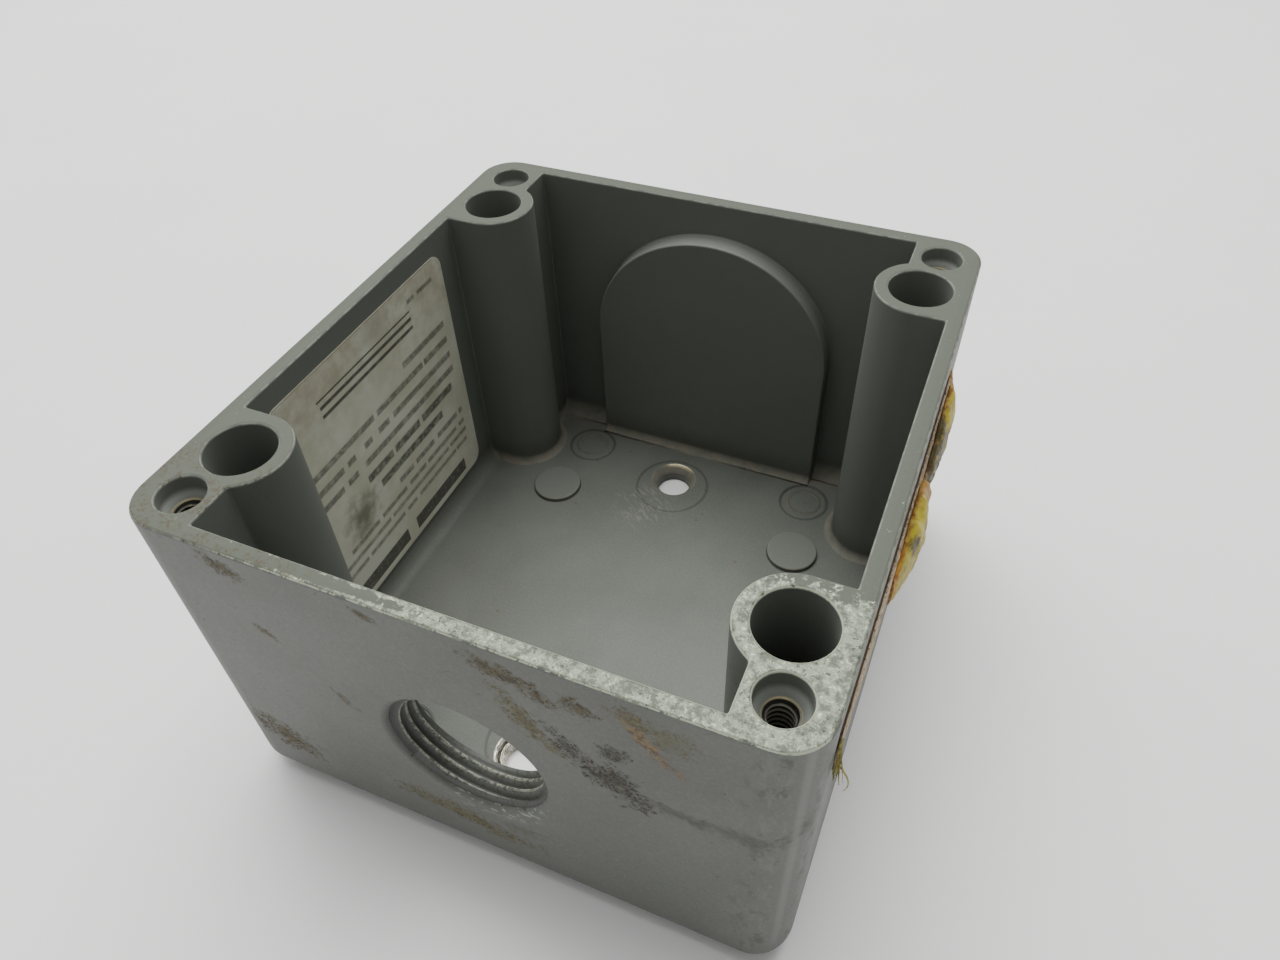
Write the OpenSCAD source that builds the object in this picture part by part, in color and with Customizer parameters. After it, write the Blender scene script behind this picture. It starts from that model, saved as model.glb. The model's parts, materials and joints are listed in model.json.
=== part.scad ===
// Base of a die-cast control-station enclosure, lying on its back with the
// open rim up. Front wall (conduit entry) faces -Y. Origin: centre of the back.

/* [Enclosure] */
// Outside width, left to right
body_w = 101.6; // [96:0.1:120]
// Outside length, front wall to back wall
body_l = 111.1; // [108:0.1:130]
// Outside depth, back face to rim
body_h = 68; // [62:0.5:80]
// Side wall thickness
wall_t = 2.8; // [2.4:0.1:3.4]
// Floor thickness
floor_t = 4; // [3.5:0.1:6]
// Radius of the upright outside corners
corner_r = 6.5; // [6.4:0.1:7.5]
// Radius round the outside bottom edge
bottom_r = 6; // [4:0.1:6.2]
// Radius between the floor and the walls
cavity_r = 3.5; // [2:0.1:3.7]
// Radius between the floor and the bosses, screw corners and pads
inside_r = 1.8; // [1:0.1:2.5]

/* [Mounting bosses] */
// Distance between boss axes, left to right
boss_pitch_x = 84.6; // [83:0.1:85.2]
// Distance between boss axes, front to back
boss_pitch_y = 76.2; // [75:0.1:77]
// Outside radius of a boss
boss_r = 8; // [7.6:0.1:8.2]
// Radius of the deep counterbore in a boss
boss_bore_r = 5.5; // [5:0.1:5.8]
// Thickness left under the counterbore
boss_floor_t = 7; // [6:0.5:12]
// Radius of the mounting screw hole under the counterbore
mount_hole_r = 3.3; // [2.8:0.1:3.8]

/* [Cover screws] */
// Distance between cover screw axes, left to right
screw_pitch_x = 88; // [87.4:0.1:88.4]
// Distance between cover screw axes, front to back
screw_pitch_y = 97.4; // [96.8:0.1:97.8]
// Inner face of the corner block, from the middle plane
block_x = 38.7; // [38:0.1:39.4]
// Radius of the painted counterbore
screw_cbore_r = 3.6; // [3.2:0.1:3.7]
// Depth of the straight part of the counterbore
screw_cbore_d = 2.6; // [1.5:0.1:4]
// Radius of the tapped hole
screw_hole_r = 2.2; // [1.8:0.1:2.6]
// Depth of the tapped hole below the rim
screw_hole_d = 22; // [12:1:40]

/* [Conduit pads] */
// Height of the conduit axis above the back face
conduit_z = 34.8; // [34:0.1:36]
// Radius of the threaded conduit entry
conduit_r = 13.3; // [10:0.1:15]
// Width of the lead-in chamfer at the mouth
conduit_chamfer = 0.7; // [0.3:0.1:1]
// Outside radius of a conduit pad
pad_r = 26; // [24:0.5:26.5]
// Height of a conduit pad over the wall
pad_t = 4; // [3:0.1:5]

/* [Floor] */
// Radius of a raised floor pad
foot_r = 5.4; // [4:0.1:6]
// Height of a raised floor pad
foot_h = 1; // [0.5:0.1:1.5]
// Floor pad centre, left to right from the middle
foot_x = 28.4; // [27:0.1:30]
// Floor pad centre, front to back from the middle
foot_y = 26.2; // [24:0.1:28]
// Outside radius of an ejector ring mark
ring_r = 5.2; // [4:0.1:5.5]
// Ring mark centre, left to right from the middle
ring_x = 26.6; // [25:0.1:27]
// Ring mark centre, front to back from the middle
ring_y = 41.9; // [41:0.1:42]
// Depth and width of the ring mark groove
ring_groove = 0.3; // [0.2:0.05:0.4]
// Radius of a floor hole
floor_hole_r = 3.7; // [2.5:0.1:4]
// Radius of the countersink on a floor hole
floor_sink_r = 5.4; // [4.5:0.1:5.4]
// Floor hole centre, left to right from the middle
floor_hole_x = -3.8; // [-5:0.1:-3]
// Distance between the two floor holes
floor_hole_pitch = 76.2; // [75:0.1:77]
// Outside radius of the cast circle round a floor hole
circle_r = 8.1; // [8.1:0.1:8.5]
// Cast circle centre, left to right from the middle
circle_x = -3.3; // [-4:0.1:-3]
// Cast circle centre, front to back from the middle
circle_y = 35.8; // [35.6:0.1:37]

/* [Label] */
// Length of the instruction label along the left wall
label_l = 53; // [40:1:54]
// Height of the instruction label
label_h = 55.5; // [40:0.5:56]
// Thickness of the instruction label
label_t = 0.15; // [0.1:0.05:0.3]
// Label centre, front to back from the middle
label_y = -1.8; // [-2:0.1:2]
// Lower edge of the label above the back face
label_z = 8; // [8:0.5:10]

/* [Side residue] */
// Rear end of the torn strip on the right wall
strip_back_y = 23; // [10:1:40]
// Front end of the torn strip
strip_front_y = -47; // [-48:1:-30]
// Top edge of the torn strip
strip_top_z = 62; // [58:1:66]
// Lower edge of the torn strip
strip_low_z = 53; // [44:1:56]
// Thickness of the dark adhesive film
film_t = 0.25; // [0.15:0.05:0.4]
// Thickness of the cream backing layer
backing_t = 0.8; // [0.3:0.05:1]

/* [Hidden] */
$fn = 96;
eps = 0.5; // how far a cutter runs past the face it opens
in_w = body_w - 2 * wall_t;
in_l = body_l - 2 * wall_t;
in_corner_r = cavity_r + 0.2;
boss_x = boss_pitch_x / 2;
boss_y = boss_pitch_y / 2;
screw_x = screw_pitch_x / 2;
screw_y = screw_pitch_y / 2;
wall_x = body_w / 2;
film_x = wall_x + film_t;
strip_x = film_x + backing_t;
strip_l = strip_back_y - strip_front_y;
shred_l = 4; // how far the torn end hangs past the strip

// Places children in the four corners, each mirrored towards its own corner.
module four_corners() {
    for (mx = [0, 1], my = [0, 1])
        mirror([mx, 0, 0]) mirror([0, my, 0]) children();
}

// Half of a tub's wall section: reach out from the axis, round at the bottom.
module tub_section(reach, h, r) {
    translate([0, r]) square([reach, h - r]);
    square([reach - r, r]);
    intersection() {
        translate([reach - r, r]) circle(r);
        translate([reach - r, 0]) square(r);
    }
}

// Solid tub: upright corners of radius rc, bottom edge of radius rb.
module tub(w, l, h, rc, rb) {
    cx = w / 2 - rc;
    cy = l / 2 - rc;
    translate([-cx, -cy, 0]) cube([2 * cx, 2 * cy, h]);
    for (turn = [0, 180]) rotate(turn) {
        translate([cx, cy, 0]) rotate([90, 0, 0])
            linear_extrude(2 * cy) tub_section(rc, h, rb);
        translate([-cx, cy, 0]) rotate([90, 0, 90])
            linear_extrude(2 * cx) tub_section(rc, h, rb);
        translate([cx, cy, 0])
            rotate_extrude(angle = 90) tub_section(rc, h, rb);
        translate([-cx, cy, 0]) rotate(90)
            rotate_extrude(angle = 90) tub_section(rc, h, rb);
    }
}

// Section of the fillet at the foot of a wall that stands at x = 0.
module foot_section() {
    translate([-1, floor_t - 1]) difference() {
        square([1 + inside_r, 1 + inside_r]);
        translate([1 + inside_r, 1 + inside_r]) circle(inside_r);
    }
}

// Straight foot fillet along +Y, of that length, for a wall facing +X.
module foot_fillet(length) {
    translate([0, length, 0]) rotate([90, 0, 0])
        linear_extrude(length) foot_section();
}

// Metal in one corner: the boss, its web to the side wall, the screw block.
module corner_metal() {
    translate([boss_x, boss_y, 0]) {
        cylinder(h = body_h, r = boss_r);
        rotate_extrude() translate([boss_r, 0]) foot_section();
    }
    translate([boss_x, boss_y - boss_r, 0]) {
        cube([wall_x - boss_x, 2 * boss_r, body_h]);
        rotate(-90) foot_fillet(wall_x - boss_x);
    }
    translate([block_x, boss_y, 0]) {
        cube([wall_x - block_x, body_l / 2 - boss_y, body_h]);
        mirror([1, 0, 0]) foot_fillet(body_l / 2 - boss_y);
    }
}

// Holes in one corner: mounting counterbore and hole, cover screw hole.
module corner_holes() {
    translate([boss_x, boss_y, 0]) {
        translate([0, 0, boss_floor_t])
            cylinder(h = body_h - boss_floor_t + eps, r = boss_bore_r);
        translate([0, 0, -eps])
            cylinder(h = boss_floor_t + 2 * eps, r = mount_hole_r);
    }
    translate([screw_x, screw_y, body_h]) {
        translate([0, 0, -screw_cbore_d])
            cylinder(h = screw_cbore_d + eps, r = screw_cbore_r);
        translate([0, 0, -screw_cbore_d - 1])
            cylinder(h = 1, r1 = screw_hole_r, r2 = screw_cbore_r);
        translate([0, 0, -screw_hole_d])
            cylinder(h = screw_hole_d - screw_cbore_d, r = screw_hole_r);
    }
}

// Tombstone pad on the inside of the back wall (+Y).
module conduit_pad() {
    face_y = in_l / 2 - pad_t;
    translate([0, in_l / 2, conduit_z]) rotate([90, 0, 0])
        cylinder(h = pad_t, r = pad_r);
    translate([-pad_r, face_y, 0]) {
        cube([2 * pad_r, pad_t, conduit_z]);
        rotate(-90) foot_fillet(2 * pad_r);
    }
}

// Threaded entry through the front wall and its pad, along -Y.
module conduit_hole() {
    depth = wall_t + pad_t;
    translate([0, -body_l / 2 - eps, conduit_z]) rotate([-90, 0, 0])
        cylinder(h = depth + 2 * eps, r = conduit_r);
    translate([0, -body_l / 2, conduit_z]) rotate([-90, 0, 0])
        cylinder(h = conduit_chamfer, r1 = conduit_r + conduit_chamfer,
                 r2 = conduit_r);
}

// Countersunk hole through the floor.
module floor_hole() {
    sink = floor_sink_r - floor_hole_r;
    translate([0, 0, -eps]) cylinder(h = floor_t + 2 * eps, r = floor_hole_r);
    translate([0, 0, floor_t - sink])
        cylinder(h = sink, r1 = floor_hole_r, r2 = floor_sink_r);
}

// Shallow ring groove in the floor, of outside radius r.
module ring_mark(r) {
    translate([0, 0, floor_t - ring_groove]) difference() {
        cylinder(h = 2 * ring_groove, r = r);
        translate([0, 0, -ring_groove])
            cylinder(h = 4 * ring_groove, r = r - ring_groove);
    }
}

module cast_body() {
    color("slategray") difference() {
        tub(body_w, body_l, body_h, corner_r, bottom_r);
        difference() {
            translate([0, 0, floor_t])
                tub(in_w, in_l, body_h, in_corner_r, cavity_r);
            four_corners() corner_metal();
            for (side = [0, 1]) mirror([0, side, 0]) conduit_pad();
            four_corners() translate([foot_x, foot_y, 0])
                cylinder(h = floor_t + foot_h, r = foot_r);
        }
        four_corners() corner_holes();
        four_corners() translate([ring_x, ring_y, 0]) ring_mark(ring_r);
        for (side = [-1, 1]) {
            translate([floor_hole_x, side * floor_hole_pitch / 2, 0])
                floor_hole();
            translate([circle_x, side * circle_y, 0]) ring_mark(circle_r);
        }
        conduit_hole();
    }
}

module instruction_label() {
    r = 3; // corner radius
    color("whitesmoke")
        translate([-in_w / 2, label_y - label_l / 2, label_z])
            rotate([90, 0, 90]) linear_extrude(label_t) union() {
                translate([r, 0]) square([label_l - 2 * r, label_h]);
                translate([0, r]) square([label_l, label_h - 2 * r]);
                for (x = [r, label_l - r], y = [r, label_h - r])
                    translate([x, y]) circle(r);
            }
}

module adhesive_film() {
    color("saddlebrown") translate([wall_x, strip_front_y, strip_low_z])
        cube([film_t, strip_l, strip_top_z - strip_low_z]);
}

module backing_strip() {
    color("tan") translate([film_x, strip_front_y, strip_low_z])
        cube([backing_t, strip_l, strip_top_z - strip_low_z]);
}

// Blob of aged adhesive: round caps sitting on the backing strip. Each cap:
// centre along Y, centre below the strip's top, height off the strip, spread.
module blob(caps) {
    color("goldenrod") for (cap = caps) {
        h = cap[2];
        r = (pow(cap[3], 2) + h * h) / (2 * h);
        translate([strip_x, cap[0], strip_top_z - cap[1]]) rotate([0, 90, 0])
            rotate_extrude() intersection() {
                translate([0, h - r]) circle(r);
                square([r, h]);
            }
    }
}

module adhesive_lump_rear() {
    blob([[16.5, 6, 1.25, 6], [9.5, 6.2, 1.15, 5.6], [4.4, 6, 0.7, 4]]);
}

module adhesive_lump_front() {
    blob([[-1.5, 6, 1.2, 4], [-7, 6, 2.2, 6], [-14, 6.3, 1.2, 5.5]]);
}

// Torn end of the film hanging off the front end of the strip.
module torn_film_shred() {
    color("darkkhaki")
        translate([film_x, strip_front_y - shred_l, strip_low_z - 1])
            cube([0.4, shred_l, strip_top_z - strip_low_z]);
}

cast_body();
instruction_label();
adhesive_film();
backing_strip();
adhesive_lump_rear();
adhesive_lump_front();
torn_film_shred();
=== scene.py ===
"""Looks of the die-cast control-station enclosure base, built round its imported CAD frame.

Everything is in metres in the CAD frame: X right along the front wall, Y to the back, Z up out of
the rim. The casting and the label keep their CAD meshes; the screw threads are added pieces, and
the torn residue on the right wall is rebuilt in mesh code. Materials work in millimetres.
"""

import json
import math

import bmesh
import bpy
from mathutils import Matrix, Vector, noise


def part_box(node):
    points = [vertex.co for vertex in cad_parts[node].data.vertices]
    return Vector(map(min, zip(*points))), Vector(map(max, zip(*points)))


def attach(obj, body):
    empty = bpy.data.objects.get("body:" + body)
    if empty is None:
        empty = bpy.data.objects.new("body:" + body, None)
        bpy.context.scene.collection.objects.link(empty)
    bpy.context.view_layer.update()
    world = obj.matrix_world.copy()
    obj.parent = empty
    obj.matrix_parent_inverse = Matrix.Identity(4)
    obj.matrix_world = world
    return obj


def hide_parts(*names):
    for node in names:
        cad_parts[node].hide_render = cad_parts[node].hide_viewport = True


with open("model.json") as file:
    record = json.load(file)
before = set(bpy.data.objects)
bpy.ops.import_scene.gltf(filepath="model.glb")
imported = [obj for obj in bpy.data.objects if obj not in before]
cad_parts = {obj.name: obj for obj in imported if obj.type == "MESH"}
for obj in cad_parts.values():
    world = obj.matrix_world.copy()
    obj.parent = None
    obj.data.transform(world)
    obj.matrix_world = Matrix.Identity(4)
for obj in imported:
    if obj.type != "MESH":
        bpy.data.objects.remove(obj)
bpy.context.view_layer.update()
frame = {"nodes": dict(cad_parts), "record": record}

MM = 0.001
TAU = 2 * math.pi
_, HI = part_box("cast_body")
HALF_W, HALF_L, RIM_Z = HI.x / MM, HI.y / MM, HI.z / MM
RECORD_MOUNTS = {mount["name"]: mount for mount in frame["record"]["mounts"]}

# ---------------------------------------------------------------- camera and light

CAMERA_AT = Vector((53.6, -106.4, 161.3)) * MM
CAMERA_AZ, CAMERA_EL, CAMERA_ROLL = math.radians(24.6), math.radians(45.37), math.radians(-2.29)
CAMERA_LENS, CAMERA_SENSOR = 26.36, 36
# Strength of the surroundings: a level, and how much it grows along X, Y and Z.
WORLD_LEVEL, WORLD_SLOPE = 0.3, (-0.14, 0.15, 0.25)
KEY_POWER, FILL_POWER = 18.5, 3.5


def make_camera():
    """Camera at the photograph's place and angle."""
    data = bpy.data.cameras.new("camera")
    data.lens, data.sensor_width = CAMERA_LENS, CAMERA_SENSOR
    data.clip_start, data.clip_end = 0.01, 20
    camera = bpy.data.objects.new("camera", data)
    bpy.context.scene.collection.objects.link(camera)
    camera.matrix_world = (
        Matrix.Translation(CAMERA_AT)
        @ Matrix.Rotation(CAMERA_AZ, 4, "Z")
        @ Matrix.Rotation(math.pi / 2 - CAMERA_EL, 4, "X")
        @ Matrix.Rotation(CAMERA_ROLL, 4, "Z")
    )
    bpy.context.scene.camera = camera


def area_light(name, place, size, power, colour=(1, 1, 1)):
    """Square soft light at place, turned to the object."""
    data = bpy.data.lights.new(name, "AREA")
    data.size, data.energy, data.color = size, power, colour
    lamp = bpy.data.objects.new(name, data)
    bpy.context.scene.collection.objects.link(lamp)
    lamp.location = place
    lamp.rotation_euler = (-Vector(place)).to_track_quat("-Z", "Y").to_euler()


def make_light():
    """Pale surroundings, brighter overhead, left and behind, and two large soft lights."""
    world = bpy.data.worlds.new("surroundings")
    bpy.context.scene.world = world
    world.use_nodes = True
    nodes, link = world.node_tree.nodes, world.node_tree.links.new
    place = nodes.new("ShaderNodeTexCoord")
    slope = nodes.new("ShaderNodeVectorMath")
    slope.operation = "DOT_PRODUCT"
    slope.inputs[1].default_value = WORLD_SLOPE
    level = nodes.new("ShaderNodeMath")
    level.operation = "ADD"
    level.inputs[1].default_value = WORLD_LEVEL
    link(place.outputs["Generated"], slope.inputs[0])
    link(slope.outputs["Value"], level.inputs[0])
    background = nodes["Background"]
    background.inputs["Color"].default_value = (0.99, 1, 0.985, 1)
    link(level.outputs[0], background.inputs["Strength"])
    area_light("overhead", (-0.15, 0.35, 1.0), 1.0, KEY_POWER, (0.985, 1, 0.965))
    area_light("left fill", (-1.0, 0.35, 0.7), 0.8, FILL_POWER)


# ---------------------------------------------------------------- material helper


class Shade:
    """A Principled material under construction, with short names for the nodes it is made of."""

    def __init__(self, name):
        self.material = bpy.data.materials.new(name)
        self.material.use_nodes = True
        self.tree = self.material.node_tree
        self.shader = self.tree.nodes["Principled BSDF"]
        place = self.node("ShaderNodeTexCoord").outputs["Object"]
        self.place = self.vector("SCALE", place, scale=1 / MM)
        self.x, self.y, self.z = self.split(self.place)
        facing = self.node("ShaderNodeNewGeometry").outputs["Normal"]
        self.nx, self.ny, self.nz = self.split(facing)

    def put(self, socket, value):
        """Links a node's output to socket, or sets a plain value."""
        if isinstance(value, bpy.types.NodeSocket):
            self.tree.links.new(value, socket)
        elif isinstance(value, tuple) and socket.type == "RGBA":
            socket.default_value = (*value[:3], 1)
        else:
            socket.default_value = value

    def node(self, kind, inputs=(), **settings):
        made = self.tree.nodes.new(kind)
        for key, value in settings.items():
            setattr(made, key, value)
        for key, value in dict(inputs).items():
            self.put(made.inputs[key], value)
        return made

    def split(self, vector):
        return tuple(self.node("ShaderNodeSeparateXYZ", {0: vector}).outputs)

    def join(self, x, y, z=0.0):
        return self.node("ShaderNodeCombineXYZ", {0: x, 1: y, 2: z}).outputs[0]

    def vector(self, operation, a, b=None, scale=None):
        made = self.node("ShaderNodeVectorMath", operation=operation)
        self.put(made.inputs[0], a)
        if b is not None:
            self.put(made.inputs[1], b)
        if scale is not None:
            made.inputs["Scale"].default_value = scale
        return made.outputs["Value" if operation == "LENGTH" else "Vector"]

    def math(self, operation, a, b=None):
        made = self.node("ShaderNodeMath", operation=operation)
        self.put(made.inputs[0], a)
        if b is not None:
            self.put(made.inputs[1], b)
        return made.outputs[0]

    def chain(self, operation, first, rest):
        for other in rest:
            first = self.math(operation, first, other)
        return first

    def times(self, first, *rest):
        return self.chain("MULTIPLY", first, rest)

    def plus(self, first, *rest):
        return self.chain("ADD", first, rest)

    def most(self, first, *rest):
        return self.chain("MAXIMUM", first, rest)

    def rest_of(self, share):
        return self.math("SUBTRACT", 1, share)

    def away(self, a, centre_a, b, centre_b):
        """Distance from the point (centre_a, centre_b) in the plane of a and b."""
        return self.vector(
            "LENGTH", self.join(self.math("SUBTRACT", a, centre_a), self.math("SUBTRACT", b, centre_b))
        )

    def ramp(self, value, low, high, out_low=0.0, out_high=1.0):
        """value going from low to high gives out_low to out_high, smoothly, held outside."""
        if low > high:
            low, high, out_low, out_high = high, low, out_high, out_low
        made = self.node(
            "ShaderNodeMapRange",
            {0: value, 1: low, 2: high, 3: out_low, 4: out_high},
            interpolation_type="SMOOTHSTEP",
        )
        return made.outputs[0]

    def noise(self, size, detail=3, roughness=0.55, stretch=(1, 1, 1), turn=(0, 0, 0), where=None):
        """Noise with features about size millimetres across, drawn out by stretch along X, Y, Z."""
        where = self.place if where is None else where
        mapping = self.node(
            "ShaderNodeMapping", {0: where, 2: turn, 3: tuple(stretch)}, vector_type="TEXTURE"
        )
        made = self.node(
            "ShaderNodeTexNoise",
            {"Vector": mapping.outputs[0], "Scale": 1 / size, "Detail": detail, "Roughness": roughness},
        )
        return made.outputs["Fac"]

    def cells(self, size):
        """Distance to the nearest of scattered points about size millimetres apart, as a share of size."""
        made = self.node("ShaderNodeTexVoronoi", {"Vector": self.place, "Scale": 1 / size})
        return made.outputs["Distance"]

    def mix(self, share, a, b):
        """The colour a where share is 0 and b where it is 1."""
        made = self.node("ShaderNodeMix", data_type="RGBA")
        self.put(made.inputs[0], share)
        self.put(made.inputs[6], a)
        self.put(made.inputs[7], b)
        return made.outputs[2]

    def blend(self, share, a, b):
        """The number a where share is 0 and b where it is 1."""
        made = self.node("ShaderNodeMix")
        for index, value in ((0, share), (2, a), (3, b)):
            self.put(made.inputs[index], value)
        return made.outputs[0]

    def bump(self, height, distance):
        made = self.node("ShaderNodeBump", {"Height": height, "Distance": distance * MM})
        made.inputs["Strength"].default_value = 1
        return made.outputs[0]

    def set(self, **sockets):
        for socket, value in sockets.items():
            self.put(self.shader.inputs[socket.replace("_", " ")], value)
        return self.material


# ---------------------------------------------------------------- casting

PAINT_LIGHT, PAINT_DARK, RIM_PAINT = (0.139, 0.146, 0.13), (0.12, 0.126, 0.111), (0.094, 0.103, 0.079)
BARE_HIGHLIGHT, BARE_LIGHT, BARE_DARK = (0.66, 0.7, 0.55), (0.24, 0.262, 0.2), (0.1, 0.11, 0.084)
CUT_DARK, CUT_BRIGHT, MACHINED_AND_GLEAM = (0.16, 0.15, 0.12), (0.9, 0.88, 0.8), (0.62, 0.54, 0.34)
RIM_PAINT_DARK, EDGE_GLINT, INNER_FILL_LIGHT = (0.082, 0.09, 0.069), (0.34, 0.36, 0.29), (0.182, 0.193, 0.175)
GRAIN_DARK, GRAIN_LIGHT = (0.085, 0.088, 0.078), (0.25, 0.262, 0.235)
SCUFF, FLOOR_SCUFF, RUBBED = (0.08, 0.08, 0.075), (0.34, 0.34, 0.29), (0.3, 0.31, 0.28)
SMUDGE, OUTER_SPECK, LIP_FLECK = (0.065, 0.064, 0.055), (0.06, 0.055, 0.045), (0.5, 0.52, 0.44)
PAD_TOP_LIGHT, PAD_FOOT_SHADE, GROOVE_SHADE = (0.165, 0.182, 0.158), (0.035, 0.037, 0.032), (0.035, 0.036, 0.03)
BORE_SHADE, CONE_SHADE, PIT = (0.02, 0.02, 0.02), (0.07, 0.075, 0.066), (0.07, 0.07, 0.06)
DUST, CRUMB, GRIT = (0.22, 0.205, 0.165), (0.12, 0.09, 0.045), (0.09, 0.07, 0.035)
GROUND_DIRT = (0.075, 0.058, 0.035)
TONES = {
    "brown": ((0.045, 0.035, 0.018), (0.115, 0.09, 0.042)),
    "olive": ((0.085, 0.072, 0.03), (0.15, 0.128, 0.055)),
    "orange": ((0.11, 0.065, 0.03), (0.27, 0.18, 0.085)),
    "grey": ((0.03, 0.026, 0.019), (0.085, 0.076, 0.056)),
    "smear": ((0.075, 0.075, 0.066), (0.1, 0.1, 0.09)),
}
# Stains on the front wall: centre X, centre Z, half length, half width, tilt in degrees, tone, strength.
STAINS = (
    (-32.4, 64.4, 4.2, 1.8, -25, "brown", 0.9),
    (-39.2, 16.4, 6.2, 3.8, -30, "brown", 1.0),
    (-20.3, 39.4, 2.8, 0.9, -52, "brown", 0.6),
    (-9.5, 65.4, 1.9, 0.8, -20, "brown", 0.9),
    (-29.7, 50.8, 2.3, 0.8, -35, "brown", 0.8),
    (-4.1, 13.8, 11.5, 2.6, -9, "olive", 0.95),
    (7.0, 17.0, 4.5, 1.4, 2, "brown", 0.4),
    (10.6, 63.4, 5.6, 1.6, -14, "brown", 0.85),
    (15.2, 61.6, 2.4, 1.9, -60, "brown", 0.95),
    (12.3, 54.2, 7.4, 2.0, -57, "olive", 0.85),
    (20.9, 61.8, 3.0, 1.5, -18, "brown", 0.85),
    (18.6, 51.4, 4.6, 1.8, -45, "grey", 0.85),
    (25.0, 46.1, 6.2, 3.5, -38, "grey", 1.0),
    (25.0, 53.8, 2.4, 1.7, 0, "grey", 0.9),
    (27.6, 63.4, 3.8, 1.9, -15, "olive", 0.8),
    (32.8, 62.2, 3.8, 3.0, -30, "olive", 0.5),
    (30.2, 58.8, 7.0, 1.2, -49, "orange", 0.85),
    (33.5, 44.0, 6.0, 1.7, -5, "smear", 0.6),
    (42.2, 44.4, 6.5, 2.0, 8, "smear", 0.6),
    (50.4, 49.0, 5.0, 2.0, 60, "smear", 0.6),
)
BOSS_X, BOSS_Y, BOSS_BORE_R = 42.3, 38.1, 5.5
SCREW_X, SCREW_Y, TAP_R = 44.0, 48.7, 2.2
FLOOR_HOLE_X, FLOOR_HOLE_Y, FLOOR_HOLE_R, SINK_R = -3.8, 38.1, 3.7, 5.4
RING_X, RING_Y, RING_R, RING_INNER_R = 26.6, 41.9, 5.35, 3.5
CIRCLE_X, CIRCLE_Y, CIRCLE_R = -3.3, 35.8, 8.25
FLOOR, FLOOR_PAD_X, FLOOR_PAD_Y, FLOOR_PAD_R = 4.0, 28.4, 26.2, 5.4
CONDUIT_Z = RECORD_MOUNTS["conduit_entry"]["pos_m"][2] / MM
CONDUIT_R = RECORD_MOUNTS["conduit_entry"]["dims"]["r_mm"]
CONDUIT_LENGTH = RECORD_MOUNTS["conduit_entry"]["dims"]["length_mm"]


def stained(s, paint):
    """Front wall colour and how much of it is stained."""
    flat = s.join(s.x, 0.0, s.z)
    ragged = s.plus(s.times(s.math("SUBTRACT", s.noise(1.3, 5, 0.6), 0.5), 2.6),
                    s.times(s.math("SUBTRACT", s.noise(5, 2), 0.5), 1.8))
    crumbs = s.ramp(s.noise(0.34, 2, 0.5), 0.46, 0.6, 0.25)
    shade = s.ramp(s.noise(0.7, 2, 0.5), 0.35, 0.65)
    on_front = s.times(s.ramp(s.ny, -0.2, -0.6), s.ramp(s.y, 0, -30))
    covered = 0.0
    for x, z, length, width, tilt, tone, strength in STAINS:
        local = s.node(
            "ShaderNodeMapping",
            {0: flat, 1: (x, 0, z), 2: (0, -math.radians(tilt), 0), 3: (length, 1, width)},
            vector_type="TEXTURE",
        )
        distance = s.vector("LENGTH", local.outputs[0])
        reach = s.plus(distance, ragged)
        grains = 1.0 if tone == "smear" else s.most(crumbs, s.ramp(reach, 0.8, 0.2, 0, 0.8))
        share = s.times(s.ramp(reach, 1.3, 0.1 if tone == "smear" else 0.65), grains, strength, on_front)
        paint = s.mix(share, paint, s.mix(shade, *TONES[tone]))
        covered = s.most(share, covered)
    return paint, covered


def scratches(s, size, turn, low):
    """Short straight scratches, all lying along one direction."""
    return s.ramp(s.noise(size, 2, 0.5, (1, 1, 16), turn), low, low + 0.04)


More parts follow.
